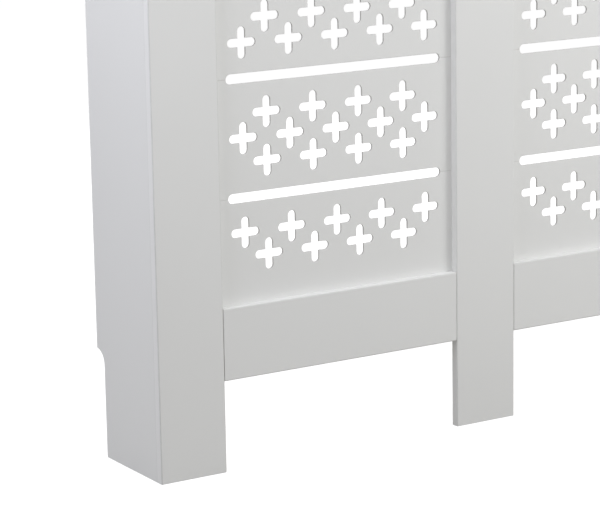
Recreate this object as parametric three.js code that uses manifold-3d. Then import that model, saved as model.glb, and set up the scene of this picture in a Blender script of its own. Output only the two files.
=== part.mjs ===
// Radiator cover cabinet: a painted board cabinet that stands over a wall radiator.
//
// Units are millimetres and +Z is up. The origin is on the floor, under the middle of the shelf.
// X runs along the width, the front faces -Y, and the room's wall is the plane of the back edges.
// The front is a frame of stiles and rails. Thin grille boards are stacked behind the stiles, and
// a brace behind the rails at the top and the bottom ties the frame together.

import * as THREE from "three";
import { mergeVertices } from "three/addons/utils/BufferGeometryUtils.js";
import Module from "manifold-3d";

const wasm = await Module();
wasm.setup();

// ---- Driving dimensions ----

// Cabinet
const cabinetWidth = 1500; // over the outer faces of the side panels
const cabinetDepth = 172; // from the stiles' front face to the wall
const bayNames = ["left", "middle", "right"];
const stileNames = ["end_stile_left", "mid_stile_left", "mid_stile_right", "end_stile_right"];

// Front frame
const stileWidth = 97.5;
const stileThickness = 12;
const railThickness = 11.6;
const railEndGap = 0.5; // paint gap between a rail and the stile beside it
const footHeight = 123; // clear height below the bottom rails
const bottomRailHeight = 97;
const topRailHeight = 142.25;
const railLap = 15.5; // height of grille board hidden behind a rail
const arrisRadius = 1.8; // eased front corners of stiles and rails

// Side panels, with a cut-out for the skirting board that ends in a quarter circle at its top
const sideThickness = 12;
const skirtingDepth = 20;
const skirtingHeight = 147.5;

// Shelf
const shelfThickness = 15;
const shelfSideOverhang = 10;
const shelfFrontOverhang = 18;
const shelfTopRadius = 7;
const shelfUnderRadius = 2;

// Grille boards
const boardThickness = 3;
const boardEndGap = 1; // between a board's end and the corner batten
const slotHeight = 13; // half of it is cut into each of the two boards that meet there
const patternMargin = 18.5; // board left between a stile's edge and the pattern
const crossLength = 42;
const crossArmWidth = 11.4;
const columnBridge = 8.8; // board left between a cross and the next, along the width
const rowBridge = 5.3; // the same, along the height
const slotBridge = 18.625; // board left between the outermost crosses and a slot
// The boards from the lowest up, and the rows of crosses in each, by their level above the board's
// middle. A long row has one cross more than a short one, which puts it half a step across.
const boards = [
  { name: "bottom", longRows: [1], shortRows: [0] },
  { name: "middle", longRows: [0], shortRows: [-1, 1] },
  { name: "top", longRows: [-1], shortRows: [0] },
];

// Battens, braces and cleats inside
const battenWidth = 18;
const battenFloorGap = 20;
const braceHeight = 60;
const braceThickness = 12;
const braceBoardGap = 2; // between a brace and the grille board above or below it
const cleatWidth = 18;
const cleatBattenGap = 5;
const cleatWallGap = 45;

// Steel wall brackets
const bracketLeg = 40;
const bracketThickness = 2;
const bracketHeight = 20;
const bracketDrop = 60; // from the shelf's underside to the bracket's middle
const bracketHoleRadius = 2.5;

// Screws
const screwRadius = 1.75;
const screwHeadRadius = 4;
const screwHeadHeight = 2.4;
const screwHeadRim = 1; // height of the head's upright edge
const screwHeadFlat = 2.8; // radius of the flat on top of the head
const screwPoint = 2; // length of the point
const screwCover = 3.7; // board left ahead of a screw's hole
const screwClearance = 0.3; // round the shank, and ahead of the point
const battenScrewInset = 120; // from a batten's end to its screw
const cleatScrewInset = 20;

// ---- Worked out from them ----

const bayCount = bayNames.length;
const bayPitch = (cabinetWidth - stileWidth) / bayCount;
const bayWidth = bayPitch - stileWidth;

const wallY = (cabinetDepth + shelfFrontOverhang) / 2;
const frontY = wallY - cabinetDepth;
const grilleY = frontY + stileThickness; // back of the stiles, front of the grille boards
const boardBackY = grilleY + boardThickness;
const battenBackY = grilleY + battenWidth;

const sideOuterX = cabinetWidth / 2;
const sideInnerX = sideOuterX - sideThickness;
const battenInnerX = sideInnerX - battenWidth;
const boardHalfWidth = battenInnerX - boardEndGap;

const columnPitch = crossLength / 2 + crossArmWidth / 2 + columnBridge;
const rowPitch = crossLength / 2 + crossArmWidth / 2 + rowBridge;
const boardHeight = 2 * (rowPitch + crossLength / 2 + slotBridge) + slotHeight;
const patternWidth = bayWidth - 2 * patternMargin;
const longRowCount = Math.floor((patternWidth - crossLength) / (2 * columnPitch)) + 1;

const grilleBottom = footHeight + bottomRailHeight - railLap;
const grilleTop = grilleBottom + boards.length * boardHeight;
const topRailBottom = grilleTop - railLap;
const cabinetHeight = topRailBottom + topRailHeight;
const shelfTop = cabinetHeight + shelfThickness;
const bracketZ = cabinetHeight - bracketDrop;

const screwHoleRadius = screwRadius + screwClearance;

// How far a screw's hole goes into the board that holds its point, and how far the screw does.
function holeDepth(thickness) {
  return thickness - screwCover;
}

function screwBite(thickness) {
  return holeDepth(thickness) - screwClearance;
}

// ---- Materials ----

const paint = { color: 0xf2f1ef, roughness: 0.42, metalness: 0 };
const pine = { color: 0xd9bd8e, roughness: 0.8, metalness: 0 };
const zinc = { color: 0xb9bcc0, roughness: 0.35, metalness: 1 };

const cabinet = new THREE.Group();
cabinet.name = "radiator_cover_cabinet";

function addPiece(name, geometry, finish, parent = cabinet) {
  const piece = new THREE.Mesh(geometry, new THREE.MeshStandardMaterial(finish));
  piece.name = name;
  parent.add(piece);
  return piece;
}

// ---- Joining and cutting ----

function toSolid(geometry) {
  const bare = geometry.clone();
  bare.deleteAttribute("normal");
  bare.deleteAttribute("uv");
  const merged = mergeVertices(bare, 1e-4);
  return new wasm.Manifold(
    new wasm.Mesh({
      numProp: 3,
      vertProperties: merged.attributes.position.array,
      triVerts: new Uint32Array(merged.index.array),
    }),
  );
}

function toGeometry(solid) {
  const mesh = solid.getMesh();
  const shared = new THREE.BufferGeometry();
  shared.setAttribute("position", new THREE.BufferAttribute(mesh.vertProperties, 3));
  shared.setIndex(new THREE.BufferAttribute(mesh.triVerts, 1));
  const geometry = shared.toNonIndexed();
  geometry.computeVertexNormals();
  return geometry;
}

function cutAway(geometry, tools) {
  let solid = toSolid(geometry);
  for (const tool of tools) solid = solid.subtract(toSolid(tool));
  return toGeometry(solid);
}

// A round cutter for a screw's hole. It starts at a point just outside the piece's face and runs
// along the direction of the screw.
const cutterSides = 8;
const cutterStart = 1;

function holeCutter(start, direction, depth) {
  const length = depth + cutterStart;
  const cutter = new THREE.CylinderGeometry(screwHoleRadius, screwHoleRadius, length, cutterSides);
  cutter.translate(0, length / 2 - cutterStart, 0);
  const turn = new THREE.Quaternion().setFromUnitVectors(new THREE.Vector3(0, 1, 0), direction);
  cutter.applyQuaternion(turn);
  cutter.translate(start.x, start.y, start.z);
  return cutter;
}

// ---- Boards from outlines ----

const toFront = new THREE.Vector3(0, -1, 0);
const upwards = new THREE.Vector3(0, 0, 1);

// An outline drawn in x and z becomes an upright board whose back face is at backY.
function frontBoard(outline, thickness, backY) {
  const geometry = new THREE.ExtrudeGeometry(outline, { depth: thickness, bevelEnabled: false });
  geometry.rotateX(Math.PI / 2);
  geometry.translate(0, backY, 0);
  return geometry;
}

// An outline drawn in y and z becomes a piece that runs along x, from startX to endX.
function alongWidth(outline, startX, endX) {
  const geometry = new THREE.ExtrudeGeometry(outline, { depth: endX - startX, bevelEnabled: false });
  const drawnInYZ = new THREE.Matrix4().makeBasis(
    new THREE.Vector3(0, 1, 0),
    new THREE.Vector3(0, 0, 1),
    new THREE.Vector3(1, 0, 0),
  );
  geometry.applyMatrix4(drawnInYZ);
  geometry.translate(startX, 0, 0);
  return geometry;
}

// An outline drawn in x and y becomes a piece that stands from bottomZ to topZ.
function upright(outline, bottomZ, topZ) {
  const geometry = new THREE.ExtrudeGeometry(outline, { depth: topZ - bottomZ, bevelEnabled: false });
  geometry.translate(0, 0, bottomZ);
  return geometry;
}

function rectangle(lowX, lowY, highX, highY) {
  return new THREE.Shape([
    new THREE.Vector2(lowX, lowY),
    new THREE.Vector2(highX, lowY),
    new THREE.Vector2(highX, highY),
    new THREE.Vector2(lowX, highY),
  ]);
}

function block(low, high) {
  return upright(rectangle(low.x, low.y, high.x, high.y), low.z, high.z);
}

// Points of an arc about a centre, from one angle to another, both ends included.
function arcPoints(centreX, centreY, radius, fromAngle, toAngle, steps) {
  const points = [];
  for (let i = 0; i <= steps; i += 1) {
    const angle = fromAngle + ((toAngle - fromAngle) * i) / steps;
    points.push(
      new THREE.Vector2(centreX + radius * Math.cos(angle), centreY + radius * Math.sin(angle)),
    );
  }
  return points;
}

const quarter = Math.PI / 2;
const arrisSteps = 2;

// ---- Front frame: stiles and rails ----

const frame = new THREE.Group();
cabinet.add(frame);

function stileLeftX(index) {
  return -sideOuterX + index * bayPitch;
}

// Screws go in from behind, through the part of the stile that the grille boards cover.
function stileScrewX(index) {
  const left = Math.max(stileLeftX(index), -battenInnerX);
  const right = Math.min(stileLeftX(index) + stileWidth, battenInnerX);
  return (left + right) / 2;
}

const lowerBraceTop = grilleBottom - braceBoardGap;
const lowerBraceScrewZ = lowerBraceTop - braceHeight / 2;
const upperBraceScrewZ = cabinetHeight - braceHeight / 2;
const battenScrewZ = [battenFloorGap + battenScrewInset, cabinetHeight - battenScrewInset];
const battenScrewX = sideInnerX - battenWidth / 2;

function boardMiddleZ(index) {
  return grilleBottom + (index + 0.5) * boardHeight;
}

// Heights of the screws that enter each stile's back.
const stileScrewZ = [
  lowerBraceScrewZ,
  ...boards.map((board, index) => boardMiddleZ(index)),
  upperBraceScrewZ,
];

// The section of a stile: a rectangle with its two front corners eased.
function stileSection(leftX) {
  const rightX = leftX + stileWidth;
  const r = arrisRadius;
  return new THREE.Shape([
    ...arcPoints(leftX + r, frontY + r, r, 2 * quarter, 3 * quarter, arrisSteps),
    ...arcPoints(rightX - r, frontY + r, r, 3 * quarter, 4 * quarter, arrisSteps),
    new THREE.Vector2(rightX, grilleY),
    new THREE.Vector2(leftX, grilleY),
  ]);
}

stileNames.forEach((name, index) => {
  const depth = holeDepth(stileThickness);
  const holes = stileScrewZ.map((z) =>
    holeCutter(new THREE.Vector3(stileScrewX(index), grilleY, z), toFront, depth),
  );
  const side = index === 0 ? -1 : 1;
  if (index === 0 || index === bayCount) {
    for (const z of battenScrewZ) {
      holes.push(holeCutter(new THREE.Vector3(side * battenScrewX, grilleY, z), toFront, depth));
    }
  }
  const stile = upright(stileSection(stileLeftX(index)), 0, cabinetHeight);
  addPiece(name, cutAway(stile, holes), paint, frame);
});

// The section of a rail: its two front corners are eased, and its back lies against the brace.
function railSection(bottomZ, topZ) {
  const r = arrisRadius;
  const railFrontY = grilleY - railThickness;
  return new THREE.Shape([
    ...arcPoints(railFrontY + r, bottomZ + r, r, 2 * quarter, 3 * quarter, arrisSteps),
    new THREE.Vector2(grilleY, bottomZ),
    new THREE.Vector2(grilleY, topZ),
    ...arcPoints(railFrontY + r, topZ - r, r, quarter, 2 * quarter, arrisSteps),
  ]);
}

bayNames.forEach((bay, index) => {
  const startX = stileLeftX(index) + stileWidth + railEndGap;
  const endX = stileLeftX(index + 1) - railEndGap;
  const bottomRail = railSection(footHeight, footHeight + bottomRailHeight);
  const topRail = railSection(topRailBottom, cabinetHeight);
  addPiece(`bottom_rail_${bay}`, alongWidth(bottomRail, startX, endX), paint, frame);
  addPiece(`top_rail_${bay}`, alongWidth(topRail, startX, endX), paint, frame);
});

// ---- Grille boards: stacked behind the stiles ----

const grille = new THREE.Group();
cabinet.add(grille);

const roundEndSteps = 4;

// A cross with round arm ends. Each arm gives a half circle, and then one inner corner.
function crossOutline(centreX, centreZ) {
  const half = crossArmWidth / 2;
  const reach = crossLength / 2 - half;
  const points = [];
  for (let arm = 0; arm < 4; arm += 1) {
    const angle = arm * quarter;
    const endX = centreX + reach * Math.cos(angle);
    const endZ = centreZ + reach * Math.sin(angle);
    points.push(...arcPoints(endX, endZ, half, angle - quarter, angle + quarter, roundEndSteps));
    const cornerX = centreX + half * (Math.cos(angle) - Math.sin(angle));
    const cornerZ = centreZ + half * (Math.sin(angle) + Math.cos(angle));
    points.push(new THREE.Vector2(cornerX, cornerZ));
  }
  return new THREE.Path(points);
}

function screwHolePath(x, z) {
  return new THREE.Path(arcPoints(x, z, screwHoleRadius, 0, 4 * quarter, cutterSides).slice(1));
}

function bayMiddleX(index) {
  return stileLeftX(index) + stileWidth + bayWidth / 2;
}

const slotRadius = slotHeight / 2;
const slotReach = patternWidth / 2 - slotRadius;
const slotEndSteps = 3;

// The board's edge, with half of each bay's slot cut into the edges that meet another board.
function boardOutline(bottomZ, topZ, slotBelow, slotAbove) {
  const points = [new THREE.Vector2(-boardHalfWidth, bottomZ)];
  if (slotBelow) {
    for (let bay = 0; bay < bayCount; bay += 1) {
      const x = bayMiddleX(bay);
      points.push(
        ...arcPoints(x - slotReach, bottomZ, slotRadius, 2 * quarter, quarter, slotEndSteps),
        ...arcPoints(x + slotReach, bottomZ, slotRadius, quarter, 0, slotEndSteps),
      );
    }
  }
  points.push(new THREE.Vector2(boardHalfWidth, bottomZ), new THREE.Vector2(boardHalfWidth, topZ));
  if (slotAbove) {
    for (let bay = bayCount - 1; bay >= 0; bay -= 1) {
      const x = bayMiddleX(bay);
      points.push(
        ...arcPoints(x + slotReach, topZ, slotRadius, 0, -quarter, slotEndSteps),
        ...arcPoints(x - slotReach, topZ, slotRadius, -quarter, -2 * quarter, slotEndSteps),
      );
    }
  }
  points.push(new THREE.Vector2(-boardHalfWidth, topZ));
  return new THREE.Shape(points);
}

function addCrosses(outline, bay, count, z) {
  for (let i = 0; i < count; i += 1) {
    const x = bayMiddleX(bay) + (2 * i - (count - 1)) * columnPitch;
    outline.holes.push(crossOutline(x, z));
  }
}

boards.forEach((board, index) => {
  const bottomZ = grilleBottom + index * boardHeight;
  const outline = boardOutline(bottomZ, bottomZ + boardHeight, index > 0, index < boards.length - 1);
  const rowZ = (level) => boardMiddleZ(index) + level * rowPitch;
  for (let bay = 0; bay < bayCount; bay += 1) {
    for (const level of board.longRows) addCrosses(outline, bay, longRowCount, rowZ(level));
    for (const level of board.shortRows) addCrosses(outline, bay, longRowCount - 1, rowZ(level));
  }
  for (let stile = 0; stile <= bayCount; stile += 1) {
    outline.holes.push(screwHolePath(stileScrewX(stile), boardMiddleZ(index)));
  }
  const geometry = frontBoard(outline, boardThickness, boardBackY);
  addPiece(`grille_board_${board.name}`, geometry, paint, grille);
});

// ---- Side panels ----

const skirtingSteps = 6;

// The outline in y and z: square at the front, with the skirting cut-out at the lower back.
function sideOutline() {
  const arcZ = skirtingHeight - skirtingDepth;
  return new THREE.Shape([
    new THREE.Vector2(grilleY, 0),
    new THREE.Vector2(wallY - skirtingDepth, 0),
    ...arcPoints(wallY, arcZ, skirtingDepth, 2 * quarter, quarter, skirtingSteps),
    new THREE.Vector2(wallY, cabinetHeight),
    new THREE.Vector2(grilleY, cabinetHeight),
  ]);
}

const bracketScrewY = wallY - bracketLeg / 2;
const sides = [
  { name: "left", sign: -1 },
  { name: "right", sign: 1 },
];

for (const { name, sign } of sides) {
  const startX = sign < 0 ? -sideOuterX : sideInnerX;
  const panel = alongWidth(sideOutline(), startX, startX + sideThickness);
  const screwStart = new THREE.Vector3(sign * sideInnerX, bracketScrewY, bracketZ);
  const outwards = new THREE.Vector3(sign, 0, 0);
  const hole = holeCutter(screwStart, outwards, holeDepth(sideThickness));
  addPiece(`side_panel_${name}`, cutAway(panel, [hole]), paint);
}

// ---- Battens, braces and cleats ----

const throughCut = 1; // a through hole's cutter runs this far past the far face

for (const { name, sign } of sides) {
  const lowX = sign < 0 ? -sideInnerX : battenInnerX;
  const batten = block(
    new THREE.Vector3(lowX, grilleY, battenFloorGap),
    new THREE.Vector3(lowX + battenWidth, battenBackY, cabinetHeight),
  );
  const holes = battenScrewZ.map((z) =>
    holeCutter(
      new THREE.Vector3(sign * battenScrewX, battenBackY, z),
      toFront,
      battenWidth + throughCut,
    ),
  );
  addPiece(`corner_batten_${name}`, cutAway(batten, holes), pine);
}

const braceBackY = grilleY + braceThickness;
const braces = [
  { name: "lower_brace", topZ: lowerBraceTop, screwZ: lowerBraceScrewZ },
  { name: "upper_brace", topZ: cabinetHeight, screwZ: upperBraceScrewZ },
];

for (const { name, topZ, screwZ } of braces) {
  const outline = rectangle(-boardHalfWidth, topZ - braceHeight, boardHalfWidth, topZ);
  for (let stile = 0; stile <= bayCount; stile += 1) {
    outline.holes.push(screwHolePath(stileScrewX(stile), screwZ));
  }
  addPiece(name, frontBoard(outline, braceThickness, braceBackY), pine);
}

const cleatStartY = battenBackY + cleatBattenGap;
const cleatEndY = wallY - cleatWallGap;
const cleatBottom = cabinetHeight - cleatWidth;
const cleatScrewX = sideInnerX - cleatWidth / 2;
const cleatScrewY = { front: cleatStartY + cleatScrewInset, rear: cleatEndY - cleatScrewInset };

for (const { name, sign } of sides) {
  const lowX = sign < 0 ? -sideInnerX : sideInnerX - cleatWidth;
  const cleat = block(
    new THREE.Vector3(lowX, cleatStartY, cleatBottom),
    new THREE.Vector3(lowX + cleatWidth, cleatEndY, cabinetHeight),
  );
  const holes = Object.values(cleatScrewY).map((y) =>
    holeCutter(new THREE.Vector3(sign * cleatScrewX, y, cleatBottom), upwards, cleatWidth + throughCut),
  );
  addPiece(`top_cleat_${name}`, cutAway(cleat, holes), pine);
}

// ---- Shelf ----

const shelfHalfWidth = sideOuterX + shelfSideOverhang;
const shelfFrontY = frontY - shelfFrontOverhang;

const shelfTopSteps = 4;

// The shelf's edge: a large round-over above and a small one below.
function shelfEdge(edge, inwards) {
  const topZ = shelfTop - shelfTopRadius;
  const underZ = cabinetHeight + shelfUnderRadius;
  const points = [
    ...arcPoints(shelfTopRadius, topZ, shelfTopRadius, quarter, 2 * quarter, shelfTopSteps),
    ...arcPoints(shelfUnderRadius, underZ, shelfUnderRadius, 2 * quarter, 3 * quarter, arrisSteps),
  ];
  return points.map((point) => new THREE.Vector2(edge + inwards * point.x, point.y));
}

function shelfGeometry() {
  const frontProfile = new THREE.Shape([
    ...shelfEdge(shelfFrontY, 1),
    new THREE.Vector2(wallY, cabinetHeight),
    new THREE.Vector2(wallY, shelfTop),
  ]);
  const endProfile = new THREE.Shape([
    ...shelfEdge(-shelfHalfWidth, 1),
    ...shelfEdge(shelfHalfWidth, -1).reverse(),
  ]);
  const frontMoulded = alongWidth(frontProfile, -shelfHalfWidth, shelfHalfWidth);
  const endsMoulded = frontBoard(endProfile, wallY - shelfFrontY, wallY);
  return toGeometry(toSolid(frontMoulded).intersect(toSolid(endsMoulded)));
}

const shelfHoles = [];
for (const { sign } of sides) {
  for (const y of Object.values(cleatScrewY)) {
    const start = new THREE.Vector3(sign * cleatScrewX, y, cabinetHeight);
    shelfHoles.push(holeCutter(start, upwards, holeDepth(shelfThickness)));
  }
}
addPiece("top_shelf", cutAway(shelfGeometry(), shelfHoles), paint);

// ---- Wall brackets ----

// An angle of steel strip: one leg lies on the side panel, and the other lies on the wall.
function bracketSection(sign) {
  const panelX = sideInnerX;
  const corners = [
    [panelX, wallY],
    [panelX, wallY - bracketLeg],
    [panelX - bracketThickness, wallY - bracketLeg],
    [panelX - bracketThickness, wallY - bracketThickness],
    [panelX - bracketLeg, wallY - bracketThickness],
    [panelX - bracketLeg, wallY],
  ];
  return new THREE.Shape(corners.map(([x, y]) => new THREE.Vector2(sign * x, y)));
}

const bracketHoleSides = 12;

for (const { name, sign } of sides) {
  const angle = upright(bracketSection(sign), bracketZ - bracketHeight / 2, bracketZ + bracketHeight / 2);
  const length = bracketThickness + 2 * throughCut;
  const panelHole = new THREE.CylinderGeometry(screwHoleRadius, screwHoleRadius, length, cutterSides);
  panelHole.rotateZ(quarter);
  panelHole.translate(sign * (sideInnerX - bracketThickness / 2), bracketScrewY, bracketZ);
  const wallHole = new THREE.CylinderGeometry(bracketHoleRadius, bracketHoleRadius, length, bracketHoleSides);
  wallHole.translate(sign * (sideInnerX - bracketLeg / 2), wallY - bracketThickness / 2, bracketZ);
  addPiece(`wall_bracket_${name}`, cutAway(angle, [panelHole, wallHole]), zinc);
}

// ---- Screws ----

const screws = new THREE.Group();
cabinet.add(screws);

const screwSides = 8;

// A pan-head screw on its own y axis: the head's underside is at 0, and the point is ahead of it.
function screwGeometry(length) {
  const profile = [
    new THREE.Vector2(0, -screwHeadHeight),
    new THREE.Vector2(screwHeadFlat, -screwHeadHeight),
    new THREE.Vector2(screwHeadRadius, -screwHeadRim),
    new THREE.Vector2(screwHeadRadius, 0),
    new THREE.Vector2(screwRadius, 0),
    new THREE.Vector2(screwRadius, length - screwPoint),
    new THREE.Vector2(0, length),
  ];
  return new THREE.LatheGeometry(profile, screwSides);
}

// A screw passes through one board, its grip, and bites into the next, its hold.
function addScrew(name, grip, hold, position, direction) {
  const screw = addPiece(name, screwGeometry(grip + screwBite(hold)), zinc, screws);
  screw.position.copy(position);
  screw.quaternion.setFromUnitVectors(new THREE.Vector3(0, 1, 0), direction);
}

for (let stile = 0; stile <= bayCount; stile += 1) {
  const x = stileScrewX(stile);
  const place = stileNames[stile].replace("_stile", "");
  boards.forEach((board, index) => {
    const position = new THREE.Vector3(x, boardBackY, boardMiddleZ(index));
    const name = `grille_screw_${board.name}_${place}`;
    addScrew(name, boardThickness, stileThickness, position, toFront);
  });
  for (const brace of braces) {
    const position = new THREE.Vector3(x, braceBackY, brace.screwZ);
    addScrew(`${brace.name}_screw_${place}`, braceThickness, stileThickness, position, toFront);
  }
}

for (const { name, sign } of sides) {
  battenScrewZ.forEach((z, index) => {
    const level = index === 0 ? "low" : "high";
    const position = new THREE.Vector3(sign * battenScrewX, battenBackY, z);
    addScrew(`batten_screw_${level}_${name}`, battenWidth, stileThickness, position, toFront);
  });
  for (const [place, y] of Object.entries(cleatScrewY)) {
    const position = new THREE.Vector3(sign * cleatScrewX, y, cleatBottom);
    addScrew(`cleat_screw_${place}_${name}`, cleatWidth, shelfThickness, position, upwards);
  }
  const bracketScrewX = sign * (sideInnerX - bracketThickness);
  const position = new THREE.Vector3(bracketScrewX, bracketScrewY, bracketZ);
  const outwards = new THREE.Vector3(sign, 0, 0);
  addScrew(`bracket_screw_${name}`, bracketThickness, sideThickness, position, outwards);
}

export default cabinet;
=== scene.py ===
import math
import random

import bmesh
import bpy
from mathutils import Matrix, Vector


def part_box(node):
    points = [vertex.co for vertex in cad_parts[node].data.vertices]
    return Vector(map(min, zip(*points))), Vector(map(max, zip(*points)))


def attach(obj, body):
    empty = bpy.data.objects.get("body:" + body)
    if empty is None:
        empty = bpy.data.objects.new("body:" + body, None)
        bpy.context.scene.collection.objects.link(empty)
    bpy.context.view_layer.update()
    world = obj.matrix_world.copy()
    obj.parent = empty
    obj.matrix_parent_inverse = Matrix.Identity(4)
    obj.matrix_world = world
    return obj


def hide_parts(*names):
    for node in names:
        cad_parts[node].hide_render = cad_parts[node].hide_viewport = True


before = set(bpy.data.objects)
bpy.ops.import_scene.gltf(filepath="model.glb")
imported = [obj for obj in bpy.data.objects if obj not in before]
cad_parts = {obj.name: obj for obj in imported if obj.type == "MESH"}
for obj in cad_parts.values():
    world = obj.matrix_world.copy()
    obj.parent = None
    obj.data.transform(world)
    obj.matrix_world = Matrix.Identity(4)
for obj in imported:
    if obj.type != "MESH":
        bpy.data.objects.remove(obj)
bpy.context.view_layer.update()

scene = bpy.context.scene


# ---- Side panels ----
# Two upright boards of 12 mm fibreboard. A router has cut their lower back corner away, so that
# the panel reaches the wall over a skirting board. Sanded edges, sprayed with white satin paint.

def add_node(tree, kind, inputs=None, **settings):
    """Adds a shader node. Its inputs, by name or place, take values or other nodes' outputs."""
    node = tree.nodes.new(kind)
    for name, value in settings.items():
        setattr(node, name, value)
    in_use = [socket for socket in node.inputs if socket.enabled]
    by_name = {socket.name: socket for socket in reversed(in_use)}
    for key, value in (inputs or {}).items():
        socket = in_use[key] if isinstance(key, int) else by_name[key]
        if isinstance(value, bpy.types.NodeSocket):
            tree.links.new(value, socket)
        else:
            socket.default_value = value
    return node


def output(node):
    """A node's first output in use."""
    return next(socket for socket in node.outputs if socket.enabled)


def noise(tree, place, scale, detail, roughness=0.5):
    """Noise from 0 to 1 at a place."""
    values = {"Vector": place, "Scale": scale, "Detail": detail, "Roughness": roughness}
    return output(add_node(tree, "ShaderNodeTexNoise", values))


def span(tree, value, low, high, start=0.0, end=1.0, smooth=False):
    """Carries a value's range from low to high over to the range from start to end."""
    values = {"Value": value, "From Min": low, "From Max": high, "To Min": start, "To Max": end}
    kind = "SMOOTHSTEP" if smooth else "LINEAR"
    return output(add_node(tree, "ShaderNodeMapRange", values, interpolation_type=kind))


NOISE_LOW = 0.3
NOISE_HIGH = 0.7


def vary(tree, pattern, start, end):
    """Spreads a noise, which mostly lies from 0.3 to 0.7, over the range from start to end."""
    return span(tree, pattern, NOISE_LOW, NOISE_HIGH, start, end)


def calculate(tree, operation, *values):
    return output(add_node(tree, "ShaderNodeMath", dict(enumerate(values)), operation=operation))


def scale_colour(tree, colour, amount):
    values = {0: colour, 1: amount}
    return output(add_node(tree, "ShaderNodeVectorMath", values, operation="SCALE"))


def mix_colours(tree, amount, first, second):
    values = {0: amount, 1: first, 2: second}
    return output(add_node(tree, "ShaderNodeMix", values, data_type="RGBA"))


def object_place(tree):
    return add_node(tree, "ShaderNodeTexCoord").outputs["Object"]


def new_group(name, inputs):
    """Starts a node group that puts out a colour, a roughness and a height."""
    group = bpy.data.node_groups.new(name, "ShaderNodeTree")
    for socket_name, kind in inputs.items():
        group.interface.new_socket(socket_name, in_out="INPUT", socket_type=kind)
    for socket_name, kind in (("Color", "NodeSocketColor"), ("Roughness", "NodeSocketFloat"),
                              ("Height", "NodeSocketFloat")):
        group.interface.new_socket(socket_name, in_out="OUTPUT", socket_type=kind)
    return group, group.nodes.new("NodeGroupInput").outputs


def put_out(group, colour, roughness, height):
    add_node(group, "NodeGroupOutput", {"Color": colour, "Roughness": roughness, "Height": height})


# How fine the paint's patterns are, as noise scales for places in metres
DRIFT_SCALE = 4.5
FIBRE_SCALE = 260.0
ARRIS_SHADE_PATCH_SCALE = 75.0
ORANGE_PEEL_SCALE = 450.0
CUT_FUR_SCALE = 1500.0
# How far the patterns go, and what a cut edge or the primer adds
PAINT_DRIFT = (0.990, 1.005)
PAINT_ROUGHNESS = (0.40, 0.48)
ARRIS_SHADE_PATCHES = (0.75, 1.0)
PRIMER_FIBRES = (0.95, 1.02)
# Painted light on the cut edges
CUT_EDGE_PAINTED_LIGHT = 0.05
CUT_IS_DULLER = 0.08
PRIMER_IS_DULLER = 0.22
PRIMER_FUR = 0.5
ORANGE_PEEL_HEIGHT = 0.5


def sprayed_paint_group():
    """Satin paint on fibreboard. The mesh's attribute "coat" marks arrises in red, cut edges in
    green, and in blue the faces inside the cabinet, which have only a coat of primer."""
    group, given = new_group("sprayed paint on fibreboard", {
        "Paint": "NodeSocketColor",
        "Painted Shade Grey": "NodeSocketColor",
        "Primer": "NodeSocketColor",
        "Painted Shade Share": "NodeSocketFloat",
    })
    place = object_place(group)
    coat = add_node(group, "ShaderNodeAttribute", attribute_name="coat").outputs["Color"]
    masks = add_node(group, "ShaderNodeSeparateColor", {0: coat}).outputs
    arris, cut, inside = masks["Red"], masks["Green"], masks["Blue"]

    # The coat drifts a little from one pass of the spray gun to the next, and the cut edges carry a
    # little painted light, which makes them a little lighter.
    drift = noise(group, place, DRIFT_SCALE, 3.0, 0.55)
    tone = calculate(group, "ADD", vary(group, drift, *PAINT_DRIFT),
                     calculate(group, "MULTIPLY", cut, CUT_EDGE_PAINTED_LIGHT))
    painted = scale_colour(group, given["Paint"], tone)

    # Inside, the board's fibres show through the primer.
    fibres = noise(group, place, FIBRE_SCALE, 6.0, 0.7)
    primed = scale_colour(group, given["Primer"], vary(group, fibres, *PRIMER_FIBRES))
    colour = mix_colours(group, inside, painted, primed)

    # Painted shade along the arrises, in an uneven line: there the colour is mixed towards a grey.
    patches = noise(group, place, ARRIS_SHADE_PATCH_SCALE, 4.0, 0.6)
    arris_shade = calculate(group, "MULTIPLY", span(group, patches, 0.35, 0.65, *ARRIS_SHADE_PATCHES), arris)
    shade_share = calculate(group, "MULTIPLY", arris_shade, given["Painted Shade Share"])
    colour = mix_colours(group, shade_share, colour, given["Painted Shade Grey"])

    # Primer is flat, cut edges are duller than faces, and the satin coat has faint patches.
    duller = calculate(group, "ADD", calculate(group, "MULTIPLY", inside, PRIMER_IS_DULLER),
                       calculate(group, "MULTIPLY", cut, CUT_IS_DULLER))
    roughness = calculate(group, "ADD", span(group, drift, 0.0, 1.0, *PAINT_ROUGHNESS), duller)

    # Orange peel lies all over, and where the board was cut the fibres stand up through it.
    peel = noise(group, place, ORANGE_PEEL_SCALE, 2.0, 0.4)
    fur = noise(group, place, CUT_FUR_SCALE, 4.0, 0.65)
    furry = calculate(group, "MAXIMUM", cut, calculate(group, "MULTIPLY", inside, PRIMER_FUR))
    height = calculate(group, "MULTIPLY_ADD", fur, furry,
                       calculate(group, "MULTIPLY", peel, ORANGE_PEEL_HEIGHT))
    put_out(group, colour, roughness, height)
    return group


def surface_material(name, group, group_values, relief, metallic=0.0):
    """A material whose colour, roughness and relief, in metres, come from a node group."""
    material = bpy.data.materials.new(name)
    material.use_nodes = True
    tree = material.node_tree
    shader = tree.nodes["Principled BSDF"]
    shader.inputs["Metallic"].default_value = metallic
    finish = add_node(tree, "ShaderNodeGroup", node_tree=group)
    for key, value in group_values.items():
        finish.inputs[key].default_value = value
    relief_values = {"Distance": relief, "Height": finish.outputs["Height"]}
    bump = add_node(tree, "ShaderNodeBump", relief_values)
    tree.links.new(finish.outputs["Color"], shader.inputs["Base Color"])
    tree.links.new(finish.outputs["Roughness"], shader.inputs["Roughness"])
    tree.links.new(bump.outputs["Normal"], shader.inputs["Normal"])
    return material


sprayed_paint = sprayed_paint_group()
PAINT_WHITE = (0.812, 0.815, 0.806, 1.0)
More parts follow.
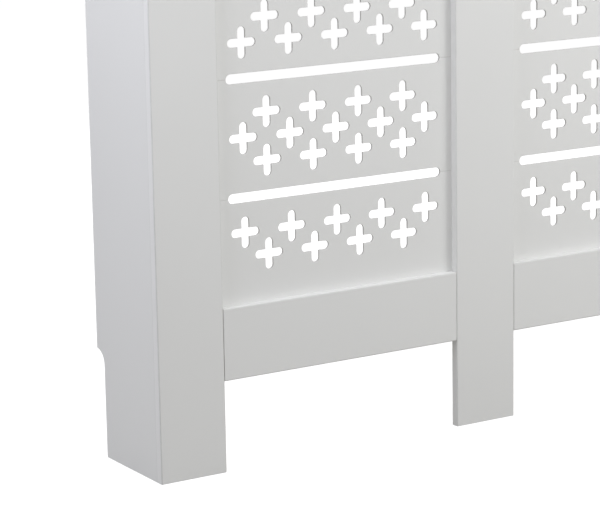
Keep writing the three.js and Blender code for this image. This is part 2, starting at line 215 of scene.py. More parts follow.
# Painted shade: a grey that is mixed into the paint along the arrises.
PAINTED_SHADE_GREY = (0.50, 0.49, 0.475, 1.0)
PRIMER_WHITE = (0.74, 0.735, 0.725, 1.0)
PAINT_RELIEF = 0.00004
# How much painted shade most boards' arrises get
SOME_ARRIS_SHADE = 0.30


def satin_paint(name, shade_share):
    """White satin paint with a share of painted shade, a grey, mixed in on its arrises."""
    values = {"Paint": PAINT_WHITE, "Painted Shade Grey": PAINTED_SHADE_GREY, "Primer": PRIMER_WHITE, "Painted Shade Share": shade_share}
    return surface_material(name, sprayed_paint, values, PAINT_RELIEF)


board_paint = satin_paint("white satin paint", SOME_ARRIS_SHADE)

X_AXIS = Vector((1, 0, 0))
Y_AXIS = Vector((0, 1, 0))
Z_AXIS = Vector((0, 0, 1))
SHARP_ANGLE = math.radians(60)
SAME_WAY = 0.9  # least cosine between a face's normal and the way it is said to face
FLAT_FACE_WEIGHT = 90


def add_line(bm, start, place):
    end = bm.verts.new(place)
    bm.edges.new((start, end))
    return end


def add_arc(bm, start, centre, axis, angle, steps):
    """Spins a vertex about a centre, and gives the arc's last vertex."""
    arc = bmesh.ops.spin(bm, geom=[start], cent=centre, axis=axis, angle=angle, steps=steps,
                         use_duplicate=False)
    return next(v for v in arc["geom_last"] if isinstance(v, bmesh.types.BMVert))


def ease(bm, edges, radius, segments):
    """Rounds edges to a radius."""
    bmesh.ops.bevel(bm, geom=edges, offset=radius, offset_type="OFFSET", segments=segments,
                    profile=0.5, affect="EDGES", clamp_overlap=True, material=-1)


def ease_sharp_edges(bm, radius, segments=2):
    sharp = [e for e in bm.edges if e.is_manifold and e.calc_face_angle() > SHARP_ANGLE]
    ease(bm, sharp, radius, segments)


def mark_coat(bm, board_axis, inside, shade_whole_cut_edges=False):
    """Writes the paint's masks. The board lies square to its axis, and inside points into the
    cabinet. With shade_whole_cut_edges the painted shade covers the whole cut edge, and not just
    its arrises. A board's faces lean 0 degrees from its axis, its arrises 45 and its cut edges 90."""
    coat = bm.loops.layers.float_color.new("coat")
    bm.normal_update()
    for face in bm.faces:
        lean = math.degrees(math.acos(min(1.0, abs(face.normal.dot(board_axis)))))
        cut = min(1.0, lean / 90)
        arris = cut if shade_whole_cut_edges else max(0.0, 1 - abs(lean / 45 - 1))
        is_inside = face.normal.dot(inside) > SAME_WAY
        for loop in face.loops:
            loop[coat] = (arris, cut, float(is_inside), 1.0)


def finish_piece(bm, name, node, material):
    """Makes the mesh into a smooth-shaded piece that rides on the cabinet and replaces its node."""
    mesh = bpy.data.meshes.new(name)
    for face in bm.faces:
        face.smooth = True
    bm.to_mesh(mesh)
    bm.free()
    mesh.materials.append(material)
    piece = bpy.data.objects.new(name, mesh)
    scene.collection.objects.link(piece)
    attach(piece, "root")
    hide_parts(node)
    return piece


def keep_faces_flat(piece):
    """Large faces keep their own normal, and the rounded arrises blend into them."""
    normals = piece.modifiers.new("flat faces", "WEIGHTED_NORMAL")
    normals.mode = "FACE_AREA"
    normals.weight = FLAT_FACE_WEIGHT
    normals.keep_sharp = True


SKIRTING_DEPTH = 0.020
SKIRTING_HEIGHT = 0.1475
SKIRTING_STEPS = 12
PANEL_ARRIS = 0.0004


def side_panel(side, inwards):
    """The panel's outline, drawn on its left face and given the board's thickness."""
    node = f"side_panel_{side}"
    low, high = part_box(node)
    bm = bmesh.new()
    arc_z = SKIRTING_HEIGHT - SKIRTING_DEPTH
    first = bm.verts.new((low.x, low.y, high.z))
    vertex = add_line(bm, first, (low.x, low.y, low.z))
    vertex = add_line(bm, vertex, (low.x, high.y - SKIRTING_DEPTH, low.z))
    vertex = add_line(bm, vertex, (low.x, high.y - SKIRTING_DEPTH, arc_z))
    vertex = add_arc(bm, vertex, (low.x, high.y, arc_z), X_AXIS, -math.pi / 2, SKIRTING_STEPS)
    vertex = add_line(bm, vertex, (low.x, high.y, high.z))
    bm.edges.new((vertex, first))
    outline = bmesh.ops.contextual_create(bm, geom=bm.edges[:])["faces"]
    grown = bmesh.ops.extrude_face_region(bm, geom=outline, use_keep_orig=True)["geom"]
    moved = [v for v in grown if isinstance(v, bmesh.types.BMVert)]
    bmesh.ops.translate(bm, vec=(high.x - low.x, 0, 0), verts=moved)
    bmesh.ops.recalc_face_normals(bm, faces=bm.faces)
    ease_sharp_edges(bm, PANEL_ARRIS)
    mark_coat(bm, X_AXIS, inwards)
    piece = finish_piece(bm, f"painted_side_{side}", node, board_paint)
    keep_faces_flat(piece)


side_panel("left", X_AXIS)
side_panel("right", -X_AXIS)


# ---- Corner battens ----
# Square pine strips glued into the two front corners and left bare. The planer has eased their
# long edges a little.

# How many knots there are to a metre along, through and across a strip, and how far their parts
# reach from the middle, as a share of the room that each has
KNOT_SPREAD = (3.4, 0.0, 8.0)
KNOT_HEART_REACH = 0.022
KNOT_RIM_REACH = 0.044
KNOT_END_REACH = 0.056
SWELLING_START = 0.04
SWELLING_REACH = 0.22
SWELLING = 0.011
# Rings, bands and streaks of fibre, which are all drawn out along the grain
RING_STRETCH = (0.10, 1.0, 1.0)
RING_SCALE = 60.0
RING_WAVER = 26.0
RING_WAVER_SCALE = 0.30
LATE_WOOD_STARTS = 0.45
LATE_WOOD_STRENGTH = 0.85
BAND_STRETCH = (2.5, 42.0, 42.0)
BAND_TONES = (0.90, 1.05)
STREAK_STRETCH = (45.0, 1300.0, 1300.0)
STREAK_TONES = (0.88, 1.06)
STREAK_HEIGHT = 0.6
PINE_ROUGHNESS = (0.62, 0.78)
EARLY_WOOD = (0.79, 0.61, 0.39, 1.0)
LATE_WOOD = (0.57, 0.36, 0.18, 1.0)
KNOT_HEART = (0.36, 0.17, 0.07, 1.0)
KNOT_RIM = (0.13, 0.06, 0.03, 1.0)


def pine_group():
    """Planed pine whose grain runs along the first number of the place it is given."""
    group, given = new_group("planed pine", {"Place": "NodeSocketVector"})

    def stretched(place, scale):
        values = {"Vector": place, "Scale": scale}
        return output(add_node(group, "ShaderNodeMapping", values))

    # Branches went through the strips from front to back and left round knots.
    branches = {"Vector": stretched(given["Place"], KNOT_SPREAD), "Scale": 1.0}
    knots = add_node(group, "ShaderNodeTexVoronoi", branches).outputs["Distance"]
    swelling = span(group, knots, SWELLING_START, SWELLING_REACH, SWELLING, 0.0, smooth=True)
    push = output(add_node(group, "ShaderNodeCombineXYZ", {"Y": swelling, "Z": swelling}))
    pushed = output(add_node(group, "ShaderNodeVectorMath", {0: given["Place"], 1: push},
                             operation="ADD"))

    # The growth rings lie about a heart far to one side. They waver, draw together and apart as
    # good and lean years do, part round the knots, and darken slowly before each starts again.
    waves = {"Vector": stretched(pushed, RING_STRETCH), "Scale": RING_SCALE,
             "Distortion": RING_WAVER, "Detail": 2.0, "Detail Scale": RING_WAVER_SCALE}
    rings = add_node(group, "ShaderNodeTexWave", waves, wave_type="RINGS", rings_direction="X",
                     wave_profile="SAW").outputs["Fac"]
    late = span(group, rings, LATE_WOOD_STARTS, 1.0, 0.0, LATE_WOOD_STRENGTH, smooth=True)
    wood = mix_colours(group, late, EARLY_WOOD, LATE_WOOD)

    # Broad bands of darker and paler wood, and fine streaks of fibre.
    bands = noise(group, stretched(given["Place"], BAND_STRETCH), 1.0, 2.0)
    wood = scale_colour(group, wood, vary(group, bands, *BAND_TONES))
    streaks = noise(group, stretched(given["Place"], STREAK_STRETCH), 1.0, 4.0, 0.6)
    wood = scale_colour(group, wood, vary(group, streaks, *STREAK_TONES))

    # A knot is red brown with a dark rim.
    towards_rim = span(group, knots, KNOT_HEART_REACH, KNOT_RIM_REACH, smooth=True)
    knot_wood = mix_colours(group, towards_rim, KNOT_HEART, KNOT_RIM)
    in_knot = span(group, knots, KNOT_RIM_REACH, KNOT_END_REACH, 1.0, 0.0, smooth=True)
    wood = mix_colours(group, in_knot, wood, knot_wood)

    height = calculate(group, "MULTIPLY_ADD", streaks, STREAK_HEIGHT, rings)
    put_out(group, wood, span(group, streaks, 0.0, 1.0, *PINE_ROUGHNESS), height)
    return group


planed_pine = pine_group()
PINE_RELIEF = 0.00008


def pine_along(axis_name, turn):
    """Pine for strips that run along one axis. The turn brings that axis onto x."""
    pine = surface_material(f"pine along {axis_name}", planed_pine, {}, PINE_RELIEF)
    tree = pine.node_tree
    turned = add_node(tree, "ShaderNodeMapping", {"Vector": object_place(tree), "Rotation": turn})
    finish = next(node for node in tree.nodes if node.type == "GROUP")
    tree.links.new(output(turned), finish.inputs["Place"])
    return pine


pine_upright = pine_along("z", (0, math.pi / 2, 0))
PINE_ARRIS = 0.0010


def block_in(node):
    """A block that fills a node's box, and the box's corners."""
    low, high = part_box(node)
    bm = bmesh.new()
    bmesh.ops.create_cube(bm, size=1.0)
    bmesh.ops.scale(bm, vec=high - low, verts=bm.verts)
    bmesh.ops.translate(bm, vec=(low + high) / 2, verts=bm.verts)
    return bm, low, high


def pine_strip(node, material):
    """A planed strip that fills its node's box."""
    bm, _, _ = block_in(node)
    ease_sharp_edges(bm, PINE_ARRIS)
    piece = finish_piece(bm, f"pine_{node}", node, material)
    keep_faces_flat(piece)


pine_strip("corner_batten_left", pine_upright)
pine_strip("corner_batten_right", pine_upright)


# ---- Stiles ----
# The four legs of the front frame, ripped from 12 mm fibreboard and standing on the floor. The
# two outer ones lap the side panels' front edges. Their front edges have a larger round-over,
# and along those of the outer ones lies a darker painted shade.

FRAME_ARRIS = 0.0018
FRAME_ARRIS_STEPS = 5
SMALL_ARRIS = 0.0004
TOUCHING = 1e-6
PARALLEL = 0.99  # least cosine between two edges that run the same way
# The end stiles' arrises get a dark painted shade along the corner.
DARK_ARRIS_SHADE = 0.70
STILES = (("end", "left"), ("mid", "left"), ("mid", "right"), ("end", "right"))
arris_shaded_paint = satin_paint("white satin paint, dark painted shade on the arrises", DARK_ARRIS_SHADE)


def front_edges(bm, low, along):
    """The edges of a block's front face that run along an axis."""
    return [e for e in bm.edges if all(v.co.y - low.y < TOUCHING for v in e.verts)
            and abs((e.verts[0].co - e.verts[1].co).normalized().dot(along)) > PARALLEL]


def frame_board(node, along, material):
    """A board of the front frame whose long front edges are rounded."""
    bm, low, _ = block_in(node)
    ease(bm, front_edges(bm, low, along), FRAME_ARRIS, FRAME_ARRIS_STEPS)
    ease_sharp_edges(bm, SMALL_ARRIS)
    mark_coat(bm, Y_AXIS, Y_AXIS)
    piece = finish_piece(bm, f"painted_{node}", node, material)
    keep_faces_flat(piece)


for stile, side in STILES:
    frame_board(f"{stile}_stile_{side}", Z_AXIS, arris_shaded_paint if stile == "end" else board_paint)


# ---- Braces ----
# Two planed pine strips behind the front frame. The rails are glued to them, and screws through
# them hold the stiles.

pine_across = pine_along("x", (0, 0, 0))
pine_strip("lower_brace", pine_across)
pine_strip("upper_brace", pine_across)


# ---- Rails ----
# Short boards between the stiles at the top and the bottom of each bay, a hair thinner than the
# stiles. Their long front edges are rounded as the stiles' are, and their ends are cut square.

for bay in ("left", "middle", "right"):
    frame_board(f"bottom_rail_{bay}", X_AXIS, board_paint)
    frame_board(f"top_rail_{bay}", X_AXIS, board_paint)


# ---- Grille boards ----
# Three thin fibreboards stacked behind the stiles. A router has cut the crosses right through,
# and half of each long slot into the edges where two boards meet. Sanding has eased all rims.

CROSS_LENGTH = 0.0420
CROSS_ARM = 0.0114
CROSS_END_STEPS = 8
COLUMN_PITCH = 0.0355
ROW_PITCH = 0.032
LONG_ROW = 5
SHORT_ROW = 4
SLOT_HEIGHT = 0.0130
SLOT_MARGIN = 0.0185
SLOT_END_STEPS = 5
SCREW_HOLE_RADIUS = 0.00205
SCREW_HOLE_STEPS = 16
RIM_RADIUS = 0.0005
RIM_STEPS = 3
FROM_X_TO_Z = -Y_AXIS  # the axis about which a turn takes x towards z
SAME_LEVEL = 1e-7
CREASE_ANGLE = math.radians(40)
# Painted shade: the walls of the cut-outs and the rims of the boards are mixed far towards the
# grey.
SHADE_IN_CUT_OUTS = 0.90
grille_paint = satin_paint("white satin paint, painted shade in the cut-outs", SHADE_IN_CUT_OUTS)

stile_boxes = [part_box(f"{stile}_stile_{side}") for stile, side in STILES]
bays = [(left[1].x, right[0].x) for left, right in zip(stile_boxes, stile_boxes[1:])]
grille_screws = [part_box(f"grille_screw_bottom_{stile}_{side}") for stile, side in STILES]
grille_screw_x = [(low.x + high.x) / 2 for low, high in grille_screws]


def crease(bm):
    """Shades a mesh as smooth but for its sharp edges."""
    for edge in bm.edges:
        edge.smooth = edge.calc_face_angle() < CREASE_ANGLE


def edges_at(bm, y):
    return [e for e in bm.edges if all(abs(v.co.y - y) < SAME_LEVEL for v in e.verts)]


def draw_cross(bm, arm_width, length, y, end_steps):
    """Draws the outline of a cross with round arm ends about the y axis."""
    half = arm_width / 2
    reach = length / 2 - half
    vertex = bm.verts.new((half, y, -half))
    vertex = add_line(bm, vertex, (reach, y, -half))
    vertex = add_arc(bm, vertex, (reach, y, 0), FROM_X_TO_Z, math.pi, end_steps)
    add_line(bm, vertex, (half, y, half))
    arm = edges_at(bm, y)
    arm_verts = list(dict.fromkeys(v for e in arm for v in e.verts))
    bmesh.ops.spin(bm, geom=arm + arm_verts, cent=(0, y, 0), axis=FROM_X_TO_Z,
                   angle=1.5 * math.pi, steps=3, use_duplicate=True)


def rim_levels(front_y, back_y):
    """The steps of a board's rounded rims from front to back: (how far it opens, y)."""
    angles = [step / RIM_STEPS * math.pi / 2 for step in range(RIM_STEPS + 1)]
    rim = [(RIM_RADIUS * (1 - math.sin(a)), RIM_RADIUS * (1 - math.cos(a))) for a in angles]
    front = [(opening, front_y + depth) for opening, depth in rim]
    back = [(opening, back_y - depth) for opening, depth in reversed(rim)]
    return front + back


def bridge_levels(bm, levels):
    """Joins the rings drawn at the levels into one band."""
    for (_, near_y), (_, far_y) in zip(levels, levels[1:]):
        bmesh.ops.bridge_loops(bm, edges=edges_at(bm, near_y) + edges_at(bm, far_y))


def cut_out(name, draw, levels):
    """The wall of a cut-out about the origin. Draw puts its outline at an opening and a y."""
    bm = bmesh.new()
    for opening, y in levels:
        draw(bm, opening, y)
    bmesh.ops.remove_doubles(bm, verts=bm.verts, dist=TOUCHING)
    bridge_levels(bm, levels)
    mesh = bpy.data.meshes.new(name)
    bm.to_mesh(mesh)
    bm.free()
    return mesh


def draw_cross_rim(bm, opening, y):
    draw_cross(bm, CROSS_ARM + 2 * opening, CROSS_LENGTH + 2 * opening, y, CROSS_END_STEPS)


def draw_screw_rim(bm, opening, y):
    turn = Matrix.Translation((0, y, 0)) @ Matrix.Rotation(math.pi / 2, 4, "X")
    bmesh.ops.create_circle(bm, cap_ends=False, segments=SCREW_HOLE_STEPS,
                            radius=SCREW_HOLE_RADIUS + opening, matrix=turn)


def draw_board_rim(bm, low, high, opening, y, slot_below, slot_above):
    """Draws a board's outline, with half slots in the edges that meet another board."""
    radius = SLOT_HEIGHT / 2 + opening
    start_angle = math.asin(opening / radius)
    turn = start_angle - math.pi / 2
    half_width = radius * math.cos(start_angle)
    slots = [(left + SLOT_MARGIN + SLOT_HEIGHT / 2, right - SLOT_MARGIN - SLOT_HEIGHT / 2)
             for left, right in bays]
    bottom_z, top_z = low.z + opening, high.z - opening
    first = vertex = bm.verts.new((low.x + opening, y, bottom_z))
    for start, end in slots if slot_below else []:
        vertex = add_line(bm, vertex, (start - half_width, y, bottom_z))
        vertex = add_arc(bm, vertex, (start, y, low.z), FROM_X_TO_Z, turn, SLOT_END_STEPS)
        vertex = add_line(bm, vertex, (end, y, low.z + radius))
        vertex = add_arc(bm, vertex, (end, y, low.z), FROM_X_TO_Z, turn, SLOT_END_STEPS)
    vertex = add_line(bm, vertex, (high.x - opening, y, bottom_z))
    vertex = add_line(bm, vertex, (high.x - opening, y, top_z))
    for start, end in reversed(slots) if slot_above else []:
        vertex = add_line(bm, vertex, (end + half_width, y, top_z))
        vertex = add_arc(bm, vertex, (end, y, high.z), FROM_X_TO_Z, turn, SLOT_END_STEPS)
        vertex = add_line(bm, vertex, (start, y, high.z - radius))
        vertex = add_arc(bm, vertex, (start, y, high.z), FROM_X_TO_Z, turn, SLOT_END_STEPS)
    vertex = add_line(bm, vertex, (low.x + opening, y, top_z))
    bm.edges.new((vertex, first))


def place_copy(bm, mesh, x, z):
    """Adds a mesh that was made about the y axis, moved to a place on the board."""
    before = len(bm.verts)
    bm.from_mesh(mesh)
    bm.verts.ensure_lookup_table()
    bmesh.ops.translate(bm, vec=(x, 0, z), verts=bm.verts[before:])


def grille_board(node, rows, slot_below, slot_above):
    """A board with its cut-outs. Rows are (level above its middle, crosses in a bay)."""
    low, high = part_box(node)
    levels = rim_levels(low.y, high.y)
    bm = bmesh.new()
    for opening, y in levels:
        draw_board_rim(bm, low, high, opening, y, slot_below, slot_above)
    bridge_levels(bm, levels)
    cross = cut_out("cross", draw_cross_rim, levels)
    screw_hole = cut_out("screw hole", draw_screw_rim, levels)
    middle_z = (low.z + high.z) / 2
    for left, right in bays:
        for level, count in rows:
            for column in range(count):
                x = (left + right) / 2 + (2 * column - (count - 1)) * COLUMN_PITCH
                place_copy(bm, cross, x, middle_z + level * ROW_PITCH)
    for x in grille_screw_x:
        place_copy(bm, screw_hole, x, middle_z)
    bpy.data.meshes.remove(cross)
    bpy.data.meshes.remove(screw_hole)
    rim_face_count = len(bm.faces)
    for y in (low.y, high.y):
        bmesh.ops.triangle_fill(bm, edges=edges_at(bm, y), use_beauty=True, use_dissolve=False)
    bmesh.ops.recalc_face_normals(bm, faces=bm.faces)
    crease(bm)
    mark_coat(bm, Y_AXIS, Y_AXIS, shade_whole_cut_edges=True)
    piece = finish_piece(bm, f"painted_{node}", node, grille_paint)
    is_rim = [index < rim_face_count for index in range(len(piece.data.polygons))]
    piece.data.polygons.foreach_set("use_smooth", is_rim)


grille_board("grille_board_bottom", [(0, SHORT_ROW), (1, LONG_ROW)], False, True)
grille_board("grille_board_middle", [(-1, SHORT_ROW), (0, LONG_ROW), (1, SHORT_ROW)], True, True)
grille_board("grille_board_top", [(-1, LONG_ROW), (0, SHORT_ROW)], True, False)


# ---- Top cleats ----
# Short pine strips glued inside the side panels, flush with their tops. The shelf is screwed to
# them from below.

pine_deep = pine_along("y", (0, 0, -math.pi / 2))
pine_strip("top_cleat_left", pine_deep)
pine_strip("top_cleat_right", pine_deep)


# ---- Shelf ----
# One 15 mm fibreboard that overhangs the front and both ends. There its top edge has a large
# round-over and its lower edge a small one, and its back is square against the wall.

SHELF_TOP_RADIUS = 0.0070
SHELF_TOP_STEPS = 8
SHELF_UNDER_RADIUS = 0.0020
SHELF_UNDER_STEPS = 4
# The shelf's arrises get hardly any painted shade.
LITTLE_ARRIS_SHADE = 0.04
shelf_paint = satin_paint("white satin paint, moulded", LITTLE_ARRIS_SHADE)


def shelf(node):
    bm, low, high = block_in(node)

    def moulded_edges(z):
        """The edges at a height, but for the one along the wall."""
        return [e for e in bm.edges if all(abs(v.co.z - z) < TOUCHING for v in e.verts)
                and not all(high.y - v.co.y < TOUCHING for v in e.verts)]

    ease(bm, moulded_edges(high.z), SHELF_TOP_RADIUS, SHELF_TOP_STEPS)
    ease(bm, moulded_edges(low.z), SHELF_UNDER_RADIUS, SHELF_UNDER_STEPS)
    ease_sharp_edges(bm, SMALL_ARRIS)
    mark_coat(bm, Z_AXIS, -Z_AXIS)
    piece = finish_piece(bm, f"painted_{node}", node, shelf_paint)
    keep_faces_flat(piece)


shelf("top_shelf")


# ---- Wall brackets ----
# Angles bent from 2 mm zinc-plated steel strip with round corners. One leg is screwed to the side
# panel, and the other has a hole for a screw into the wall.

SPANGLE_SCALE = 340.0
SPANGLE_TONES = (0.88, 1.08)
SCRATCH_STRETCH = (150.0, 2600.0, 2600.0)
ZINC_ROUGHNESS = (0.27, 0.47)


def zinc_group():
    """Bright zinc plate with faint spangle and fine scratches along x."""
    group, given = new_group("zinc plate", {"Metal": "NodeSocketColor"})
    place = object_place(group)
    spangle = noise(group, place, SPANGLE_SCALE, 3.0)
    colour = scale_colour(group, given["Metal"], vary(group, spangle, *SPANGLE_TONES))
    along = add_node(group, "ShaderNodeMapping", {"Vector": place, "Scale": SCRATCH_STRETCH})
    scratches = noise(group, output(along), 1.0, 3.0)
    put_out(group, colour, span(group, scratches, 0.0, 1.0, *ZINC_ROUGHNESS), scratches)
    return group


zinc_plate = zinc_group()
ZINC_RELIEF = 0.00001
BRACKET_ZINC = (0.62, 0.63, 0.65, 1.0)
bright_zinc = surface_material("bright zinc plate", zinc_plate, {"Metal": BRACKET_ZINC},
                               ZINC_RELIEF, metallic=1.0)
BRACKET_THICKNESS = 0.002
BRACKET_BEND_RADIUS = 0.0035
BRACKET_BEND_STEPS = 6
BRACKET_CORNER_RADIUS = 0.003
BRACKET_CORNER_STEPS = 4
BRACKET_ARRIS = 0.00025
WALL_HOLE_RADIUS = 0.0025
BRACKET_HOLE_STEPS = 24


def round_corners(bm, corners, radius, steps):
    bmesh.ops.bevel(bm, geom=corners, offset=radius, offset_type="OFFSET", segments=steps,
                    profile=0.5, affect="VERTICES", material=-1)


def pierce(bm, face, centre, turn, radius):
    """Makes a flat face anew with a round hole in it."""
    rim = face.edges[:]
    bmesh.ops.delete(bm, geom=[face], context="FACES_ONLY")
    before = set(bm.edges)
    bmesh.ops.create_circle(bm, cap_ends=False, segments=BRACKET_HOLE_STEPS, radius=radius,
                            matrix=Matrix.Translation(centre) @ turn)
    circle = [e for e in bm.edges if e not in before]
    bmesh.ops.triangle_fill(bm, edges=rim + circle, use_beauty=True)


def wall_bracket(side, mirrored):
    """The right bracket, or its mirror image: a strip bent along the panel and the wall."""
    node = f"wall_bracket_{side}"
    low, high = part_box("wall_bracket_right")
    bm = bmesh.new()
    bend = bm.verts.new((high.x, high.y, low.z))
    add_line(bm, bend, (high.x, low.y, low.z))
    add_line(bm, bend, (low.x, high.y, low.z))
    round_corners(bm, [bend], BRACKET_BEND_RADIUS, BRACKET_BEND_STEPS)
    strip = bmesh.ops.extrude_edge_only(bm, edges=bm.edges[:])["geom"]
    raised = [v for v in strip if isinstance(v, bmesh.types.BMVert)]
    bmesh.ops.translate(bm, vec=(0, 0, high.z - low.z), verts=raised)
    ends = [v for v in bm.verts if len(v.link_edges) == 2]
    round_corners(bm, ends, BRACKET_CORNER_RADIUS, BRACKET_CORNER_STEPS)
    legs = sorted(bm.faces, key=lambda face: face.calc_area())[-2:]
    middle_z = (low.z + high.z) / 2
    for leg in legs:
        if abs(leg.normal.x) > SAME_WAY:
            panel_hole = (high.x, (low.y + high.y) / 2, middle_z)
            pierce(bm, leg, panel_hole, Matrix.Rotation(math.pi / 2, 4, "Y"), SCREW_HOLE_RADIUS)
        else:
            wall_hole = ((low.x + high.x) / 2, high.y, middle_z)
            pierce(bm, leg, wall_hole, Matrix.Rotation(math.pi / 2, 4, "X"), WALL_HOLE_RADIUS)
    bmesh.ops.recalc_face_normals(bm, faces=bm.faces)
    bmesh.ops.solidify(bm, geom=bm.faces[:], thickness=BRACKET_THICKNESS)
    if mirrored:
        bmesh.ops.scale(bm, vec=(-1, 1, 1), verts=bm.verts)
    bmesh.ops.recalc_face_normals(bm, faces=bm.faces)
    ease_sharp_edges(bm, BRACKET_ARRIS)
    crease(bm)
    piece = finish_piece(bm, f"steel_{node}", node, bright_zinc)
    keep_faces_flat(piece)


wall_bracket("left", True)
wall_bracket("right", False)


# ---- Screws ----
# Zinc-plated pan-head screws with a cross recess. The thread is rolled up to the head, and each
# stopped at its own angle when it was driven home.

HEAD_RADIUS = 0.004
HEAD_HEIGHT = 0.0024
HEAD_RIM = 0.0008
HEAD_FLAT_RADIUS = 0.0027
HEAD_STEPS = 5
SHANK_RADIUS = 0.00175
CORE_RADIUS = 0.0012
THREAD_PITCH = 0.0015
POINT_LENGTH = 0.002
RECESS_ARM = 0.0010
RECESS_LENGTH = 0.0044
RECESS_DEPTH = 0.0015
RECESS_TAPER = 0.55
RECESS_END_STEPS = 2
SCREW_STEPS = 24
SCREW_ZINC = (0.66, 0.665, 0.675, 1.0)
DRIVING_SEED = 11
screw_zinc = surface_material("bright zinc plate, small", zinc_plate, {"Metal": SCREW_ZINC},
                              ZINC_RELIEF, metallic=1.0)
driven_angle = random.Random(DRIVING_SEED)


def draw_screw(length):
    """A screw about the y axis. Its head ends at y = 0, and its point is at the length."""
    bm = bmesh.new()
    vertex = bm.verts.new((HEAD_FLAT_RADIUS, -HEAD_HEIGHT, 0))
    dome = Vector((HEAD_RADIUS - HEAD_FLAT_RADIUS, HEAD_HEIGHT - HEAD_RIM))
    for step in range(1, HEAD_STEPS + 1):
        angle = step / HEAD_STEPS * math.pi / 2
        radius = HEAD_FLAT_RADIUS + dome.x * math.sin(angle)
        vertex = add_line(bm, vertex, (radius, -HEAD_RIM - dome.y * math.cos(angle), 0))
    vertex = add_line(bm, vertex, (HEAD_RADIUS, 0, 0))
    vertex = add_line(bm, vertex, (CORE_RADIUS, 0, 0))
    turns = round((length - POINT_LENGTH) / THREAD_PITCH)
    pitch = (length - POINT_LENGTH) / turns
    for turn in range(turns):
        vertex = add_line(bm, vertex, (SHANK_RADIUS, (turn + 0.5) * pitch, 0))
        vertex = add_line(bm, vertex, (CORE_RADIUS, (turn + 1) * pitch, 0))
    add_line(bm, vertex, (0, length, 0))
    bmesh.ops.spin(bm, geom=bm.verts[:] + bm.edges[:], cent=(0, 0, 0), axis=Y_AXIS,
                   angle=2 * math.pi, steps=SCREW_STEPS, use_merge=True)
    bmesh.ops.remove_doubles(bm, verts=bm.verts, dist=TOUCHING)

    top_y = -HEAD_HEIGHT
    floor_y = top_y + RECESS_DEPTH
    recess = bmesh.new()
    draw_cross(recess, RECESS_ARM, RECESS_LENGTH, top_y, RECESS_END_STEPS)
    draw_cross(recess, RECESS_ARM * RECESS_TAPER, RECESS_LENGTH * RECESS_TAPER, floor_y,
               RECESS_END_STEPS)
    bmesh.ops.remove_doubles(recess, verts=recess.verts, dist=TOUCHING)
    bridge_levels(recess, [(0, top_y), (0, floor_y)])
    bmesh.ops.contextual_create(recess, geom=edges_at(recess, floor_y))
    walls = bpy.data.meshes.new("recess")
    recess.to_mesh(walls)
    recess.free()
    bm.from_mesh(walls)
    bpy.data.meshes.remove(walls)
    bmesh.ops.triangle_fill(bm, edges=edges_at(bm, top_y), use_beauty=True)
    bmesh.ops.recalc_face_normals(bm, faces=bm.faces)
    crease(bm)
    return bm


def drive_screw(node, direction):
    """Places a screw in its node's box, with its head against the direction."""
    low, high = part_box(node)
    centre = (low + high) / 2
    total = abs((high - low).dot(direction))
    head_end = centre - direction * (total / 2)
    bm = draw_screw(total - HEAD_HEIGHT)
    spin = Matrix.Rotation(driven_angle.uniform(0, math.pi / 2), 4, "Y")
    turn = Y_AXIS.rotation_difference(direction).to_matrix().to_4x4()
    place = Matrix.Translation(head_end + direction * HEAD_HEIGHT) @ turn @ spin
    bmesh.ops.transform(bm, matrix=place, verts=bm.verts)
    finish_piece(bm, f"pan_head_{node}", node, screw_zinc)


for stile, side in STILES:
    for board in ("bottom", "middle", "top"):
        drive_screw(f"grille_screw_{board}_{stile}_{side}", -Y_AXIS)
    for brace in ("lower", "upper"):
        drive_screw(f"{brace}_brace_screw_{stile}_{side}", -Y_AXIS)
for side, outwards in (("left", -X_AXIS), ("right", X_AXIS)):
    for level in ("low", "high"):
        drive_screw(f"batten_screw_{level}_{side}", -Y_AXIS)
    for end in ("front", "rear"):
        drive_screw(f"cleat_screw_{end}_{side}", Z_AXIS)
    drive_screw(f"bracket_screw_{side}", outwards)


# ---- Room ----
# A pale floor and backdrop under soft lamps, and the camera. None of it is part of the cabinet.
# The camera sees the floor as white, while the cabinet gets only a little light back from it.

FLOOR_SIZE = 40.0
FLOOR_GLOW = 0.88
FLOOR_SEEN = (0.42, 0.42, 0.42, 1.0)
FLOOR_BOUNCE = (0.315, 0.307, 0.286, 1.0)
WHITE = (1.0, 1.0, 1.0, 1.0)


def seen_or_mirrored(tree):
    """One for the rays by which the camera, a reflection or glass sees a thing, else zero."""
    rays = add_node(tree, "ShaderNodeLightPath").outputs
    mirrored = calculate(tree, "MAXIMUM", rays["Is Glossy Ray"], rays["Is Transmission Ray"])
    return calculate(tree, "MAXIMUM", rays["Is Camera Ray"], mirrored)


floor_material = bpy.data.materials.new("pale floor")
floor_material.use_nodes = True
tree = floor_material.node_tree
tree.nodes.clear()
glow = add_node(tree, "ShaderNodeEmission", {"Color": WHITE, "Strength": FLOOR_GLOW})
shade = add_node(tree, "ShaderNodeBsdfDiffuse", {"Color": FLOOR_SEEN})
seen_floor = add_node(tree, "ShaderNodeAddShader", {0: output(glow), 1: output(shade)})
lit_floor = add_node(tree, "ShaderNodeBsdfDiffuse", {"Color": FLOOR_BOUNCE})
either = add_node(tree, "ShaderNodeMixShader",
                  {0: seen_or_mirrored(tree), 1: output(lit_floor), 2: output(seen_floor)})
add_node(tree, "ShaderNodeOutputMaterial", {"Surface": output(either)})

floor_bm = bmesh.new()
bmesh.ops.create_grid(floor_bm, x_segments=1, y_segments=1, size=FLOOR_SIZE / 2)
floor_mesh = bpy.data.meshes.new("floor")
floor_bm.to_mesh(floor_mesh)
floor_bm.free()
floor_mesh.materials.append(floor_material)
floor = bpy.data.objects.new("floor", floor_mesh)
scene.collection.objects.link(floor)

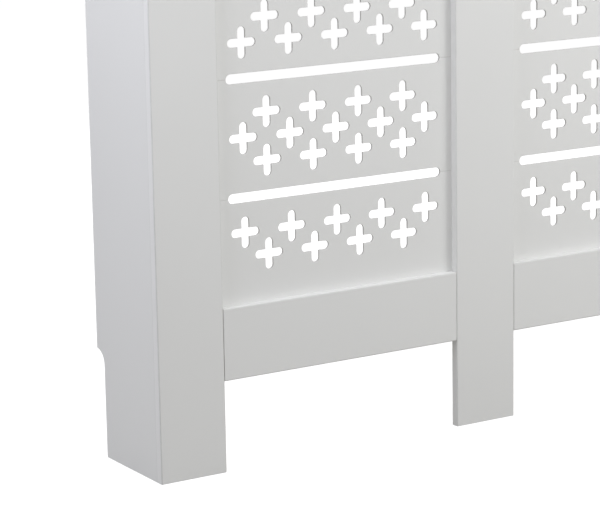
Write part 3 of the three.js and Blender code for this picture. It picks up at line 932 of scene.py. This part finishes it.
BACKDROP_SEEN = 1.0
ROOM_LIGHT = 0.28
world = bpy.data.worlds.new("white studio")
scene.world = world
world.use_nodes = True
tree = world.node_tree
tree.nodes.clear()
backdrop = add_node(tree, "ShaderNodeBackground", {"Color": WHITE, "Strength": BACKDROP_SEEN})
room_light = add_node(tree, "ShaderNodeBackground", {"Color": WHITE, "Strength": ROOM_LIGHT})
either = add_node(tree, "ShaderNodeMixShader",
                  {0: seen_or_mirrored(tree), 1: output(room_light), 2: output(backdrop)})
add_node(tree, "ShaderNodeOutputWorld", {"Surface": output(either)})


def soft_box(name, place, target, size, power, colour=(1.0, 1.0, 1.0)):
    """A lamp behind a sheet of cloth, in metres and watts. Neither the camera nor a reflection
    sees it, because its mirror image would bleach the shelf."""
    lamp = bpy.data.lights.new(name, "AREA")
    lamp.shape = "RECTANGLE"
    lamp.size, lamp.size_y = size
    lamp.energy = power
    lamp.color = colour
    holder = bpy.data.objects.new(name, lamp)
    aim = (Vector(target) - Vector(place)).to_track_quat("-Z", "Y")
    holder.matrix_world = Matrix.Translation(place) @ aim.to_matrix().to_4x4()
    scene.collection.objects.link(holder)
    holder.visible_camera = False
    holder.visible_glossy = False


COOL_LIGHT = (0.905, 0.915, 1.0)
soft_box("front", (-0.4, -1.2, 1.18), (-0.4, 0.0, 0.65), (2.6, 0.5), 6.9)
soft_box("right", (1.2, -1.6, 1.25), (0.0, 0.0, 0.65), (1.2, 0.6), 19.6)
soft_box("left", (-1.85, -0.2, 1.42), (-0.75, 0.0, 0.75), (1.2, 0.5), 15.2, COOL_LIGHT)
soft_box("overhead", (0.0, 0.0, 2.4), (0.0, 0.0, 0.0), (3.6, 2.4), 10.0)
soft_box("rear", (0.4, 2.4, 1.2), (0.0, 0.0, 0.4), (2.4, 1.2), 25.0)

CAMERA_PLACE = (-2.2344, -2.8480, 0.9853)
CAMERA_LENS = 151.696
SENSOR_WIDTH = 36.0
CAMERA_SHIFT = (-0.05, -0.0575)
CAMERA_YAW = math.radians(32.233)
CAMERA_PITCH = math.radians(11.737)
CAMERA_ROLL = math.radians(0.870)
camera = bpy.data.objects.new("camera", bpy.data.cameras.new("camera"))
camera.data.lens = CAMERA_LENS
camera.data.sensor_width = SENSOR_WIDTH
camera.data.sensor_fit = "HORIZONTAL"
camera.data.shift_x, camera.data.shift_y = CAMERA_SHIFT
camera.matrix_world = (
    Matrix.Translation(CAMERA_PLACE)
    @ Matrix.Rotation(-CAMERA_YAW, 4, "Z")
    @ Matrix.Rotation(math.pi / 2 - CAMERA_PITCH, 4, "X")
    @ Matrix.Rotation(-CAMERA_ROLL, 4, "Z")
)
scene.collection.objects.link(camera)
scene.camera = camera
scene.view_settings.view_transform = "Standard"
